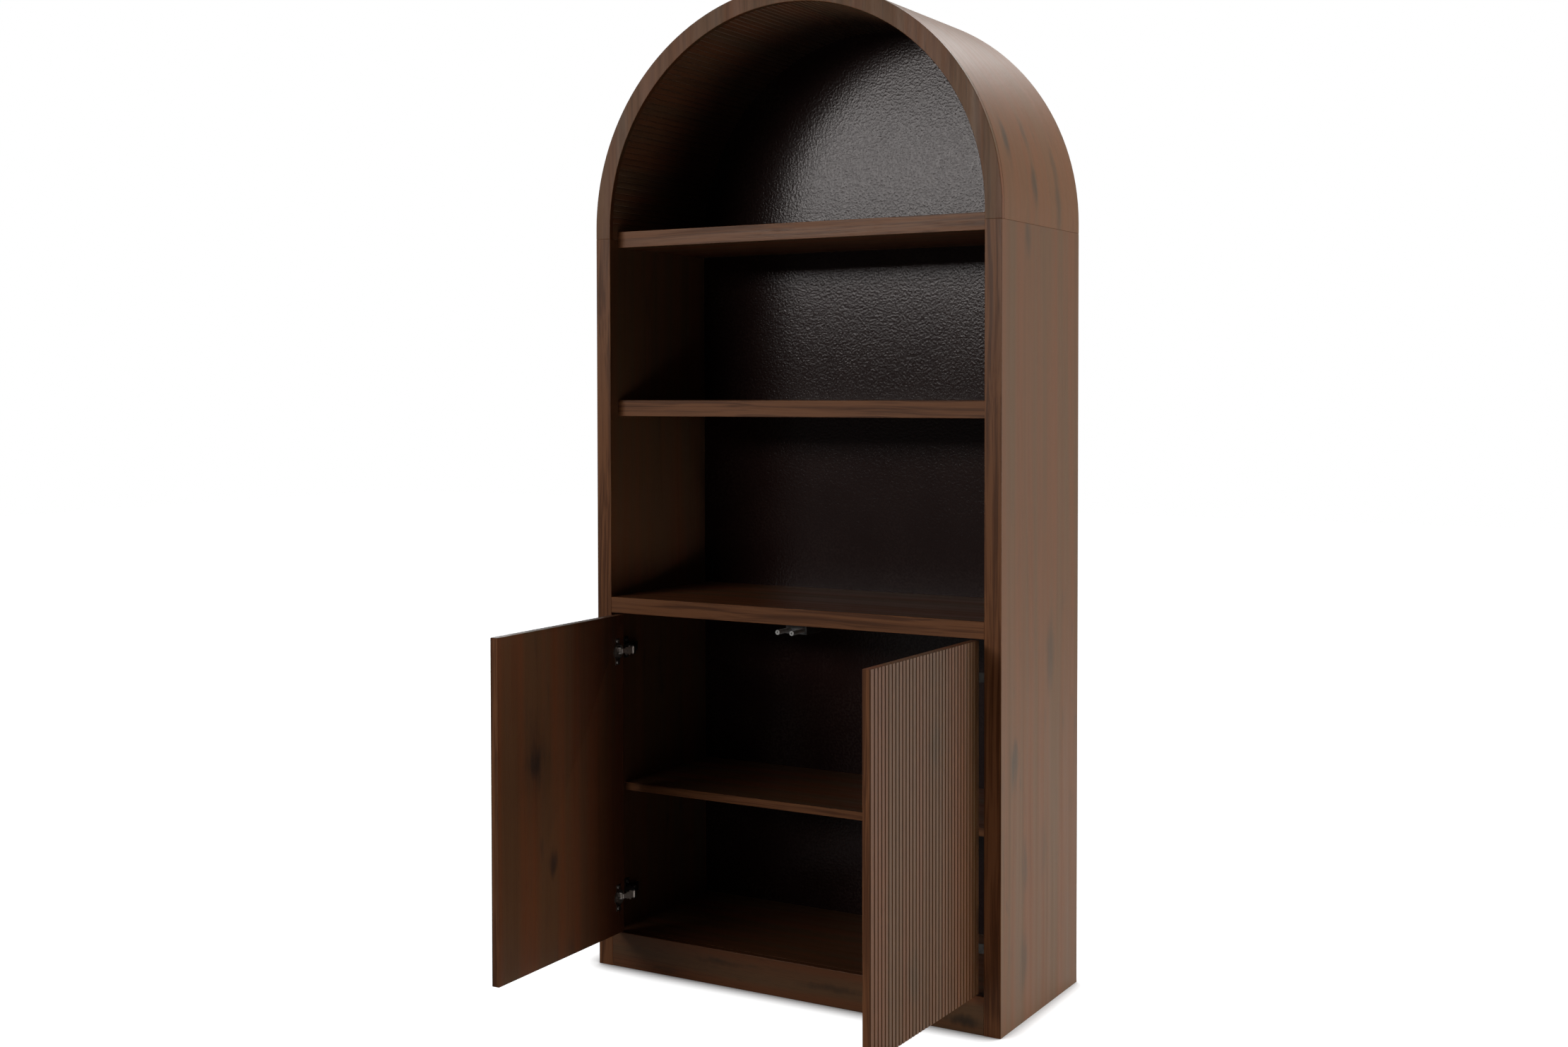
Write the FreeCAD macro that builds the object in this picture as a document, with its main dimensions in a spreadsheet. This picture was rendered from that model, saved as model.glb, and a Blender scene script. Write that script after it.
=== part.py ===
import FreeCAD, Part
import math
import os

# Arched bookcase cabinet with two fluted doors, in millimetres.
# +Z is up, the front faces -Y and the origin is on the floor in the middle of the carcass.
# The doors are shown open, as photographed. Each piece of a door is drawn shut and then swung open.

DIMENSIONS = [
    # carcass
    ("width", 1000),
    ("depth", 420),
    ("spring_height", 1680),
    ("seam_drop", 22),
    ("panel", 38),
    ("shelf", 36),
    ("board", 18),
    ("middle_height", 1257),
    ("divider_height", 810),
    ("plinth_height", 80),
    ("shelf_setback", 30),
    ("loose_height", 395),
    ("loose_setback", 50),
    ("loose_play", 1),
    # back panels
    ("back", 8),
    ("back_inset", 25),
    ("groove_depth", 8),
    ("groove_fit", 0.2),
    # arch
    ("ring_depth", 12),
    ("lining", 9),
    ("glue_line", 0.3),
    ("arch_ribs", 106),
    # flutes of the arch and the doors
    ("flute_gap", 3.4),
    ("flute_depth", 2.5),
    ("door_ribs", 33),
    # doors
    ("door_side_gap", 2.5),
    ("door_end_gap", 3),
    ("door_open", 89),
    # dowels, pins and screws
    ("dowel_radius", 4),
    ("dowel_fit", 0.1),
    ("dowel_length", 30),
    ("dowel_in_side", 12),
    ("dowel_end_room", 1),
    ("dowel_spread", 220),
    ("shelf_pin_radius", 2.5),
    ("shelf_pin_length", 18),
    ("screw_radius", 1.7),
    ("screw_fit", 0.1),
    ("screw_head_radius", 3.5),
    ("screw_head", 1.6),
    ("back_screw_length", 28),
    ("back_screw_spread", 300),
    # cup hinges, measured from the inner face of the side and from the front
    ("hinge_inset", 82),
    ("cup_radius", 17.5),
    ("cup_fit", 0.1),
    ("cup_edge", 3.5),
    ("cup_skin", 5),
    ("cup_wall", 0.8),
    ("flange", 1.1),
    ("flange_height", 60),
    ("flange_width", 16),
    ("flange_offset", 3),
    ("flange_lip", 1),
    ("cup_screw_spread", 48),
    ("cup_screw_length", 10),
    ("cup_pin_in", 10.5),
    ("cup_pin_back", 14.5),
    ("cup_pin_radius", 1.2),
    ("elbow_in", 14.3),
    ("elbow_back", 8.9),
    ("arm_pin_in", 42.2),
    ("arm_pin_back", 24.7),
    ("arm_pin_radius", 1.5),
    ("pin_fit", 0.05),
    ("link_swing", 45.2),
    ("link_thickness", 2.5),
    ("hook_width", 10),
    ("link_width", 15),
    ("link_length", 22),
    ("flare_width", 20),
    ("flare_start", 9),
    ("flare_end", 13),
    ("cup_eye_radius", 2),
    ("arm_eye_radius", 3),
    ("ear_room", 0.5),
    ("cup_ear", 1.6),
    ("arm_ear", 2),
    ("arm_thickness", 3),
    ("arm_neck_back", 36),
    ("arm_neck_lean", 2),
    ("arm_bend_back", 46),
    ("arm_tail_back", 88),
    ("arm_slot_radius", 7.5),
    ("plate_base", 2.5),
    ("plate_rail", 5),
    ("plate_rail_width", 12),
    ("plate_rail_back", 46),
    ("plate_wing_back", 47),
    ("plate_wing_depth", 16),
    ("plate_wing_span", 48),
    ("plate_screw_spread", 32),
    ("plate_screw_length", 14),
    ("arm_screw_back", 74),
    ("arm_screw_radius", 2),
    # push latches under the divider
    ("latch_spread", 34.8),
    ("latch_drop", 15.5),
    ("plunger_radius", 5.1),
    ("plunger_fit", 0.1),
    ("plunger_bore_radius", 3),
    ("plunger_length", 61),
    ("tip_reach", 10),
    ("tip_radius", 5.3),
    ("tip_length", 4),
    ("tip_dimple_radius", 1.8),
    ("tip_dimple", 2.5),
    ("housing_setback", 40),
    ("housing_length", 65),
    ("housing_width", 52),
    ("housing_height", 24),
    ("housing_wall", 3),
    ("spring_radius", 4),
    ("spring_wire", 1),
    ("latch_screw_radius", 2),
    ("latch_screw_spread", 35),
    ("latch_screw_grip", 14),
]

doc = FreeCAD.newDocument("arched_bookcase")
sheet = doc.addObject("Spreadsheet::Sheet", "Dims")
for row, (alias, value) in enumerate(DIMENSIONS, 1):
    sheet.set("A%d" % row, alias)
    sheet.set("B%d" % row, str(value))
    sheet.setAlias("B%d" % row, alias)
doc.recompute()


def dim(alias):
    """Value of one driving dimension, for the few shapes and poses worked out in code."""
    return float(sheet.get(alias))


# Planes and lengths that many pieces share, as expressions on the sheet
HALF = "(Dims.width / 2)"
INNER = "(Dims.width / 2 - Dims.panel)"
FRONT = "(-Dims.depth / 2)"
BACK_FACE = "(Dims.depth / 2 - Dims.back_inset)"
SEAM = "(Dims.spring_height - Dims.seam_drop)"
SHELF_TOP_UNDER = "(%s - Dims.shelf / 2)" % SEAM
FLOOR_UNDER = "(Dims.plinth_height - Dims.board)"
# the two doors share three equal gaps
DOOR_WIDTH = "((2 * %s - 3 * Dims.door_side_gap) / 2)" % INNER
DOOR_UNDER = "(Dims.plinth_height + Dims.door_end_gap)"
DOOR_TOP = "(Dims.divider_height - Dims.door_end_gap)"
DOOR_HEIGHT = "(%s - %s)" % (DOOR_TOP, DOOR_UNDER)
SIDES = (("left", -1), ("right", 1))
ENDS = (-1, 1)

pieces = []


def keep(thing, name):
    """Mark an object as a finished piece with its own name."""
    thing.Label = name
    pieces.append(thing)
    return thing


def place(thing, x, y, z):
    thing.setExpression("Placement.Base.x", x)
    thing.setExpression("Placement.Base.y", y)
    thing.setExpression("Placement.Base.z", z)


def block(x, y, z, length, width, height):
    """Box from its lowest corner and its three sizes."""
    thing = doc.addObject("Part::Box", "Block")
    thing.setExpression("Length", length)
    thing.setExpression("Width", width)
    thing.setExpression("Height", height)
    place(thing, x, y, z)
    return thing


AXIS_TURNS = {
    "x": FreeCAD.Rotation(FreeCAD.Vector(0, 1, 0), 90),
    "y": FreeCAD.Rotation(FreeCAD.Vector(1, 0, 0), -90),
    "z": FreeCAD.Rotation(),
}


def rod(axis, radius, length, x, y, z):
    """Cylinder that runs in the plus direction of an axis from the given point."""
    thing = doc.addObject("Part::Cylinder", "Rod")
    thing.setExpression("Radius", radius)
    thing.setExpression("Height", length)
    thing.Placement = FreeCAD.Placement(FreeCAD.Vector(), AXIS_TURNS[axis])
    place(thing, x, y, z)
    return thing


def bar(start, end, thickness, z, height):
    """Upright strip whose middle line runs between two plan points."""
    (x1, y1), (x2, y2) = start, end
    across = "(%s - (%s))" % (x2, x1)
    along = "(%s - (%s))" % (y2, y1)
    turn = "atan2(%s; %s)" % (along, across)
    thing = block(
        "%s + sin(%s) * %s / 2" % (x1, turn, thickness),
        "%s - cos(%s) * %s / 2" % (y1, turn, thickness),
        z, "hypot(%s; %s)" % (across, along), thickness, height)
    thing.setExpression("Placement.Rotation.Angle", turn)
    return thing


def half_disc(radius, rear, length):
    """Upper half of a cylinder on the arch's axis, from a rear plane towards the front."""
    thing = doc.addObject("Part::Cylinder", "HalfDisc")
    thing.setExpression("Radius", radius)
    thing.setExpression("Height", length)
    thing.Angle = 180
    thing.Placement = FreeCAD.Placement(FreeCAD.Vector(), FreeCAD.Rotation(FreeCAD.Vector(1, 0, 0), 90))
    place(thing, "0", rear, "Dims.spring_height")
    return thing


def fuse(*things):
    joined = doc.addObject("Part::MultiFuse", "Fuse")
    joined.Shapes = list(things)
    joined.Refine = True
    return joined


def together(*things):
    """Several separate solids handled as one."""
    group = doc.addObject("Part::Compound", "Group")
    group.Links = list(things)
    return group


def cut(base, *tools):
    thing = doc.addObject("Part::Cut", "Cut")
    thing.Base = base
    thing.Tool = tools[0] if len(tools) == 1 else together(*tools)
    thing.Refine = True
    return thing


def from_side(sign, inward):
    """X of a plan point a distance in from the inner face of one side."""
    return "%d * (%s - (%s))" % (sign, INNER, inward)


def from_front(back):
    """Y of a plan point a distance back from the front."""
    return "%s + (%s)" % (FRONT, back)


def side_block(sign, inward, y, z, length, width, height):
    """Box that starts a distance in from the inner face of one side."""
    if sign < 0:
        x = "-%s + (%s)" % (INNER, inward)
    else:
        x = "%s - (%s) - (%s)" % (INNER, inward, length)
    return block(x, y, z, length, width, height)


def side_rod(sign, radius, length, inward, y, z):
    """Cylinder along X that starts a distance in from the inner face of one side."""
    if sign < 0:
        x = "-%s + (%s)" % (INNER, inward)
    else:
        x = "%s - (%s) - (%s)" % (INNER, inward, length)
    return rod("x", radius, length, x, y, z)


# Dowels between the sides and the fixed boards, and the holes they sit in
DOWEL_HOLE = "(Dims.dowel_radius + Dims.dowel_fit)"
DOWEL_HOLE_LENGTH = "(Dims.dowel_length + 2 * Dims.dowel_end_room)"
DOWEL_ROWS = "Dims.dowel_spread / 2"


def dowel_pair(sign, y, z):
    """A dowel across one side's inner face, and its hole."""
    dowel = side_rod(sign, "Dims.dowel_radius", "Dims.dowel_length", "-Dims.dowel_in_side", y, z)
    hole = side_rod(sign, DOWEL_HOLE, DOWEL_HOLE_LENGTH, "-Dims.dowel_in_side - Dims.dowel_end_room", y, z)
    return dowel, hole


shelf_levels = (
    "%s + Dims.shelf / 4" % SHELF_TOP_UNDER,
    "Dims.middle_height + Dims.shelf / 2",
    "Dims.divider_height + Dims.shelf / 2",
    "%s + Dims.board / 2" % FLOOR_UNDER,
)
shelf_dowels = []
shelf_dowel_holes = []
for side, sign in SIDES:
    for level in shelf_levels:
        for row in (DOWEL_ROWS, "-" + DOWEL_ROWS):
            dowel, hole = dowel_pair(sign, row, level)
            shelf_dowels.append(dowel)
            shelf_dowel_holes.append(hole)
keep(together(*shelf_dowels), "shelf_dowels")

plinth_rows = (
    "%s + Dims.board / 2" % FRONT,
    "%s - Dims.board / 2" % BACK_FACE,
)
plinth_dowels = []
plinth_dowel_holes = []
for side, sign in SIDES:
    for row in plinth_rows:
        for level in ("%s / 4" % FLOOR_UNDER, "%s * 3 / 4" % FLOOR_UNDER):
            dowel, hole = dowel_pair(sign, row, level)
            plinth_dowels.append(dowel)
            plinth_dowel_holes.append(hole)
keep(together(*plinth_dowels), "plinth_dowels")

SHELL_MIDDLE = "(%s - (Dims.panel - Dims.lining) / 2)" % HALF
arch_dowels = []
arch_dowel_holes = []
for side, sign in SIDES:
    for row in (DOWEL_ROWS, "-" + DOWEL_ROWS):
        x = "%d * %s" % (sign, SHELL_MIDDLE)
        arch_dowels.append(rod("z", "Dims.dowel_radius", "Dims.dowel_length", x, row,
                               "%s - Dims.dowel_length / 2" % SEAM))
        arch_dowel_holes.append(rod("z", DOWEL_HOLE, DOWEL_HOLE_LENGTH, x, row,
                                    "%s - %s / 2" % (SEAM, DOWEL_HOLE_LENGTH)))
keep(together(*arch_dowels), "arch_dowels")

# Pins under the loose shelf
PIN_LEVEL = "Dims.loose_height - Dims.shelf_pin_radius"
PIN_HOLE = "(Dims.shelf_pin_radius + Dims.dowel_fit)"
PIN_DEPTH = "(Dims.shelf_pin_length / 2)"
shelf_pins = []
shelf_pin_holes = []
for side, sign in SIDES:
    for row in (DOWEL_ROWS, "-" + DOWEL_ROWS):
        shelf_pins.append(side_rod(sign, "Dims.shelf_pin_radius", "Dims.shelf_pin_length", "-" + PIN_DEPTH,
                                   row, PIN_LEVEL))
        shelf_pin_holes.append(side_rod(sign, PIN_HOLE, PIN_DEPTH, "-" + PIN_DEPTH, row, PIN_LEVEL))
keep(together(*shelf_pins), "shelf_pins")

# Screws through the back panels into the rear edges of the fixed boards
SCREW_HOLE = "(Dims.screw_radius + Dims.screw_fit)"
BACK_REAR = "(%s + Dims.back)" % BACK_FACE
back_screw_levels = shelf_levels + ("%s + Dims.shelf * 3 / 4" % SHELF_TOP_UNDER,)
back_screws = []
back_screw_holes = []
for level in back_screw_levels:
    for x in ("-Dims.back_screw_spread", "0", "Dims.back_screw_spread"):
        shank = rod("y", "Dims.screw_radius", "Dims.back_screw_length", x,
                    "%s - Dims.back_screw_length" % BACK_REAR, level)
        head = rod("y", "Dims.screw_head_radius", "Dims.screw_head", x, BACK_REAR, level)
        back_screws.append(fuse(shank, head))
        back_screw_holes.append(rod("y", SCREW_HOLE, "Dims.back_screw_length + Dims.screw_head", x,
                                    "%s - Dims.back_screw_length - Dims.screw_head" % BACK_REAR, level))
keep(together(*back_screws), "back_screws")

# Cup hinges: plan points, drawn with the door shut
HINGE_LEVELS = (
    ("top", "%s - Dims.hinge_inset" % DOOR_TOP),
    ("low", "%s + Dims.hinge_inset" % DOOR_UNDER),
)
CUP_MIDDLE = "(Dims.door_side_gap + Dims.cup_edge + Dims.cup_radius)"
CUP_FORK_GAP = "(Dims.hook_width + 2 * Dims.ear_room)"
CUP_EAR_SPAN = "(%s + 2 * Dims.cup_ear)" % CUP_FORK_GAP
ARM_FORK_GAP = "(Dims.link_width + 2 * Dims.ear_room)"
ARM_SPAN = "(%s + 2 * Dims.arm_ear)" % ARM_FORK_GAP
TAIL_MIDDLE = "(Dims.plate_base + Dims.plate_rail + Dims.arm_thickness / 2)"


def plan(sign, inward, back):
    return (from_side(sign, inward), from_front(back))


def centred(level, height):
    """Lower end of something of a given height that is centred on a level."""
    return "%s - %s / 2" % (level, height)


def hinge_cup(sign, level):
    """Round cup with a screw flange on the door's inner face and two ears that carry the link's pin."""
    x = from_side(sign, CUP_MIDDLE)
    radius = "Dims.cup_radius - Dims.cup_fit"
    floor = from_front("Dims.cup_skin + Dims.cup_fit")
    face = from_front("Dims.board")
    outer = rod("y", radius, "Dims.board - Dims.cup_skin - Dims.cup_fit", x, floor, level)
    lip = rod("y", "Dims.cup_radius + Dims.flange_lip", "Dims.flange", x, face, level)
    strip = side_block(sign, CUP_MIDDLE + " + Dims.flange_offset - Dims.flange_width / 2", face,
                       centred(level, "Dims.flange_height"),
                       "Dims.flange_width", "Dims.flange", "Dims.flange_height")
    hollow = rod("y", radius + " - Dims.cup_wall", "Dims.board", x, floor + " + Dims.cup_wall", level)
    screw_holes = [rod("y", SCREW_HOLE, "Dims.flange", screw_x, face, z)
                   for screw_x, z in cup_screw_points(sign, level)]
    shell = cut(fuse(outer, lip, strip), hollow, *screw_holes)
    ear_depth = "Dims.cup_pin_back + Dims.cup_eye_radius - Dims.cup_skin - Dims.cup_fit"
    ears_outside = side_block(sign, "Dims.cup_pin_in - Dims.cup_eye_radius - 2 * Dims.cup_wall", floor,
                              centred(level, CUP_EAR_SPAN), "2 * Dims.cup_eye_radius + 2 * Dims.cup_wall",
                              ear_depth, CUP_EAR_SPAN)
    between = side_block(sign, "0", floor + " + Dims.cup_wall", centred(level, CUP_FORK_GAP),
                         CUP_MIDDLE, "Dims.board", CUP_FORK_GAP)
    within = rod("y", radius, "Dims.board", x, floor, level)
    ears = doc.addObject("Part::Common", "Ears")
    ears.Base = cut(ears_outside, between)
    ears.Tool = within
    pin_x, pin_y = plan(sign, "Dims.cup_pin_in", "Dims.cup_pin_back")
    pin_hole = rod("z", "Dims.cup_pin_radius", CUP_EAR_SPAN, pin_x, pin_y, centred(level, CUP_EAR_SPAN))
    return cut(fuse(shell, ears), pin_hole)


def cup_screw_points(sign, level):
    x = from_side(sign, CUP_MIDDLE + " + Dims.flange_offset")
    return [(x, "%s + %d * Dims.cup_screw_spread / 2" % (level, way)) for way in ENDS]


def on_link(sign, distance):
    """Plan point on the link's straight run, a distance from the arm's pin."""
    across = "(Dims.elbow_in - Dims.arm_pin_in)"
    along = "(Dims.elbow_back - Dims.arm_pin_back)"
    share = "%s / hypot(%s; %s)" % (distance, across, along)
    inward = "Dims.arm_pin_in + %s * %s" % (across, share)
    back = "Dims.arm_pin_back + %s * %s" % (along, share)
    return plan(sign, inward, back)


def hinge_link(sign, level):
    """Link from the arm's pin that narrows to a hook round the rim of the cup, and ends at the cup's pin."""
    arm_point = plan(sign, "Dims.arm_pin_in", "Dims.arm_pin_back")
    elbow = plan(sign, "Dims.elbow_in", "Dims.elbow_back")
    cup_point = plan(sign, "Dims.cup_pin_in", "Dims.cup_pin_back")

    def strip(start, end, width):
        return bar(start, end, "Dims.link_thickness", centred(level, width), width)

    def upright(radius, point, width):
        return rod("z", radius, width, point[0], point[1], centred(level, width))

    link = fuse(
        strip(arm_point, elbow, "Dims.hook_width"),
        strip(elbow, cup_point, "Dims.hook_width"),
        strip(arm_point, on_link(sign, "Dims.link_length"), "Dims.link_width"),
        strip(on_link(sign, "Dims.flare_start"), on_link(sign, "Dims.flare_end"), "Dims.flare_width"),
        upright("Dims.link_thickness / 2", elbow, "Dims.hook_width"),
        upright("Dims.arm_eye_radius", arm_point, "Dims.link_width"),
        upright("Dims.cup_eye_radius", cup_point, "Dims.hook_width"))
    return cut(link,
               upright("Dims.arm_pin_radius + Dims.pin_fit", arm_point, "Dims.link_width"),
               upright("Dims.cup_pin_radius + Dims.pin_fit", cup_point, "Dims.hook_width"))


def hinge_arm(sign, level):
    """Cranked arm along the side, with a forked nose for the link."""
    low = centred(level, ARM_SPAN)
    nose = plan(sign, "Dims.arm_pin_in", "Dims.arm_pin_back")
    neck = plan(sign, "Dims.arm_pin_in - Dims.arm_neck_lean", "Dims.arm_neck_back")
    bend = plan(sign, TAIL_MIDDLE, "Dims.arm_bend_back")
    tail = plan(sign, TAIL_MIDDLE, "Dims.arm_tail_back")

    def upright(radius, point):
        return rod("z", radius, ARM_SPAN, point[0], point[1], low)

    strip = fuse(
        bar(nose, neck, "Dims.arm_thickness", low, ARM_SPAN),
        bar(neck, bend, "Dims.arm_thickness", low, ARM_SPAN),
        bar(bend, tail, "Dims.arm_thickness", low, ARM_SPAN),
        upright("Dims.arm_thickness / 2", neck),
        upright("Dims.arm_thickness / 2", bend),
        upright("Dims.arm_eye_radius", nose))
    fork = rod("z", "Dims.arm_slot_radius", ARM_FORK_GAP, nose[0], nose[1], centred(level, ARM_FORK_GAP))
    pin_hole = upright("Dims.arm_pin_radius", nose)
    screw_hole = side_rod(sign, "Dims.arm_screw_radius + Dims.screw_fit", "Dims.panel", "0",
                          from_front("Dims.arm_screw_back"), level)
    return cut(strip, fork, pin_hole, screw_hole)


def hinge_plate(sign, level):
    """Mounting plate on the side: two screw wings and a rail for the arm."""
    wings = side_block(sign, "0", from_front("Dims.plate_wing_back"), centred(level, "Dims.plate_wing_span"),
                       "Dims.plate_base", "Dims.plate_wing_depth", "Dims.plate_wing_span")
    rail = side_block(sign, "0", from_front("Dims.plate_rail_back"), centred(level, "Dims.plate_rail_width"),
                      "Dims.plate_base + Dims.plate_rail", "Dims.arm_tail_back - Dims.plate_rail_back",
                      "Dims.plate_rail_width")
    holes = [side_rod(sign, SCREW_HOLE, "Dims.panel", "0", y, z) for y, z in plate_screw_points(level)]
    arm_hole = side_rod(sign, "Dims.arm_screw_radius + Dims.screw_fit", "Dims.panel", "0",
                        from_front("Dims.arm_screw_back"), level)
    return cut(fuse(wings, rail), arm_hole, *holes)


def plate_screw_points(level):
    y = from_front("Dims.plate_wing_back + Dims.plate_wing_depth / 2")
    return [(y, "%s + %d * Dims.plate_screw_spread / 2" % (level, way)) for way in ENDS]


def swing(side_sign):
    """Rest poses of one side's links and door, from shut to open."""
    inner = dim("width") / 2 - dim("panel")
    front = -dim("depth") / 2
    arm_pin = FreeCAD.Vector(side_sign * (inner - dim("arm_pin_in")), front + dim("arm_pin_back"), 0)
    cup_pin = FreeCAD.Vector(side_sign * (inner - dim("cup_pin_in")), front + dim("cup_pin_back"), 0)
    up = FreeCAD.Vector(0, 0, 1)
    link_turn = FreeCAD.Rotation(up, -side_sign * dim("link_swing"))
    door_turn = FreeCAD.Rotation(up, side_sign * dim("door_open"))
    opened_pin = arm_pin + link_turn.multVec(cup_pin - arm_pin)
    link_pose = FreeCAD.Placement(arm_pin - link_turn.multVec(arm_pin), link_turn)
    door_pose = FreeCAD.Placement(opened_pin - door_turn.multVec(cup_pin), door_turn)
    return link_pose, door_pose


poses = []
plate_screw_holes = []
for side, sign in SIDES:
    link_pose, door_pose = swing(sign)
    cup_screws = []
    cup_screw_holes = []
    cup_hollows = []
    cup_pins = []
    arm_pins = []
    plate_screws = []
    arm_screws = []
    for end, level in HINGE_LEVELS:
        poses.append((keep(hinge_cup(sign, level), "hinge_cup_%s_%s" % (side, end)), door_pose))
        poses.append((keep(hinge_link(sign, level), "hinge_link_%s_%s" % (side, end)), link_pose))
        keep(hinge_arm(sign, level), "hinge_arm_%s_%s" % (side, end))
        keep(hinge_plate(sign, level), "hinge_plate_%s_%s" % (side, end))
        cup_hollows.append(rod("y", "Dims.cup_radius", "Dims.board", from_side(sign, CUP_MIDDLE),
                               from_front("Dims.cup_skin"), level))
        for screw_x, z in cup_screw_points(sign, level):
            reach = "Dims.board - Dims.cup_screw_length"
            shank = rod("y", "Dims.screw_radius", "Dims.cup_screw_length + Dims.flange", screw_x,
                        from_front(reach), z)
            head = rod("y", "Dims.screw_head_radius", "Dims.screw_head", screw_x,
                       from_front("Dims.board + Dims.flange"), z)
            cup_screws.append(fuse(shank, head))
            cup_screw_holes.append(rod("y", SCREW_HOLE, "Dims.board", screw_x, from_front(reach), z))
        pin_x, pin_y = plan(sign, "Dims.cup_pin_in", "Dims.cup_pin_back")
        cup_pins.append(rod("z", "Dims.cup_pin_radius", CUP_EAR_SPAN, pin_x, pin_y,
                            centred(level, CUP_EAR_SPAN)))
        pin_x, pin_y = plan(sign, "Dims.arm_pin_in", "Dims.arm_pin_back")
        arm_pins.append(rod("z", "Dims.arm_pin_radius", ARM_SPAN, pin_x, pin_y, centred(level, ARM_SPAN)))
        for y, z in plate_screw_points(level):
            shank = side_rod(sign, "Dims.screw_radius", "Dims.plate_screw_length",
                             "Dims.plate_base - Dims.plate_screw_length", y, z)
            head = side_rod(sign, "Dims.screw_head_radius", "Dims.screw_head", "Dims.plate_base", y, z)
            plate_screws.append(fuse(shank, head))
            plate_screw_holes.append(side_rod(sign, SCREW_HOLE, "Dims.plate_screw_length",
                                              "-Dims.plate_screw_length", y, z))
        arm_top = "(%s + Dims.arm_thickness / 2)" % TAIL_MIDDLE
        screw_y = from_front("Dims.arm_screw_back")
        shank = side_rod(sign, "Dims.arm_screw_radius", arm_top, "0", screw_y, level)
        head = side_rod(sign, "Dims.screw_head_radius", "Dims.screw_head", arm_top, screw_y, level)
        arm_screws.append(fuse(shank, head))
    poses.append((keep(together(*cup_screws), "cup_screws_" + side), door_pose))
    poses.append((keep(together(*cup_pins), "cup_pins_" + side), door_pose))
    keep(together(*arm_pins), "arm_pins_" + side)
    keep(together(*plate_screws), "plate_screws_" + side)
    keep(together(*arm_screws), "arm_screws_" + side)

    # Door: a plain board with grooves routed between the ribs of its front
    slab = side_block(sign, "Dims.door_side_gap", FRONT, DOOR_UNDER, DOOR_WIDTH, "Dims.board", DOOR_HEIGHT)
    grooves = []
    for number in range(1, int(dim("door_ribs"))):
        middle = "Dims.door_side_gap + %s * %d / Dims.door_ribs" % (DOOR_WIDTH, number)
        grooves.append(side_block(sign, middle + " - Dims.flute_gap / 2", FRONT, DOOR_UNDER,
                                  "Dims.flute_gap", "Dims.flute_depth", DOOR_HEIGHT))
    door = cut(slab, *(grooves + cup_hollows + cup_screw_holes))
    poses.append((keep(door, "door_" + side), door_pose))

# Sides, with the groove for the back and the holes for dowels, pins and hinge plates
for side, sign in SIDES:
    upright = side_block(sign, "-Dims.panel", FRONT, "0", "Dims.panel", "Dims.depth", SEAM)
    groove = side_block(sign, "-Dims.groove_depth", "%s - Dims.groove_fit" % BACK_FACE, FLOOR_UNDER,
                        "Dims.groove_depth", "Dims.back + 2 * Dims.groove_fit", SEAM)
    holes = shelf_dowel_holes + plinth_dowel_holes + arch_dowel_holes + shelf_pin_holes + plate_screw_holes
    keep(cut(upright, groove, *holes), "side_" + side)


# Arch, in three layers above the seam
def arch_solid(radius, front, rear):
    """Half-round block on two short straight legs that end at the seam."""
    length = "%s - (%s)" % (rear, front)
    legs = block("-(%s)" % radius, front, SEAM, "2 * (%s)" % radius, length, "Dims.seam_drop")
    return fuse(half_disc(radius, rear, length), legs)


LINING_OUTER = "%s + Dims.lining" % INNER
RING_REAR = "(%s + Dims.ring_depth)" % FRONT
REAR = "(Dims.depth / 2)"
shell = cut(arch_solid(HALF, RING_REAR, REAR), arch_solid(LINING_OUTER, RING_REAR, REAR), *arch_dowel_holes)
keep(shell, "arch_shell")
ring = cut(arch_solid(HALF, FRONT, RING_REAR), arch_solid(INNER, FRONT, RING_REAR))
keep(ring, "arch_front_ring")


def fluted_lining():
    """Outline of the lining, with flat ribs and square grooves inside, pushed from front to back."""
    inner = dim("width") / 2 - dim("panel")
    outer = inner + dim("lining") - dim("glue_line")
    spring = dim("spring_height")
    seam = spring - dim("seam_drop")
    front = -dim("depth") / 2 + dim("ring_depth")
    rear = dim("depth") / 2 - dim("back_inset")
    count = int(dim("arch_ribs"))
    half_gap = dim("flute_gap") / 2 / inner

    def at(angle, radius):
        return FreeCAD.Vector(radius * math.cos(angle), front, spring + radius * math.sin(angle))

    corners = [FreeCAD.Vector(inner, front, seam), at(0, inner)]
    for number in range(1, count):
        angle = math.pi * number / count
        corners.append(at(angle - half_gap, inner))
        corners.append(at(angle - half_gap, inner + dim("flute_depth")))
        corners.append(at(angle + half_gap, inner + dim("flute_depth")))
        corners.append(at(angle + half_gap, inner))
    corners += [at(math.pi, inner), FreeCAD.Vector(-inner, front, seam)]
    corners += [FreeCAD.Vector(-outer, front, seam), at(math.pi, outer)]
    edges = [Part.makeLine(start, end) for start, end in zip(corners, corners[1:])]
    edges.append(Part.Arc(at(math.pi, outer), at(math.pi / 2, outer), at(0, outer)).toShape())
    foot = FreeCAD.Vector(outer, front, seam)
    edges.append(Part.makeLine(at(0, outer), foot))
    edges.append(Part.makeLine(foot, corners[0]))
    face = Part.Face(Part.Wire(edges))
    return face.extrude(FreeCAD.Vector(0, rear - front, 0))


lining = doc.addObject("Part::Feature", "Lining")
lining.Shape = fluted_lining()
keep(lining, "arch_lining")

# Back panels: the lower one in the grooves of the sides, the upper one behind the lining
back_half = "(%s + Dims.groove_depth - Dims.groove_fit)" % INNER
lower = block("-" + back_half, BACK_FACE, FLOOR_UNDER,
              "2 * " + back_half, "Dims.back", "%s - %s" % (SEAM, FLOOR_UNDER))
keep(cut(lower, *back_screw_holes), "back_lower")
upper = arch_solid(LINING_OUTER + " - Dims.glue_line", BACK_FACE, BACK_REAR)
keep(cut(upper, *back_screw_holes), "back_upper")


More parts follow.
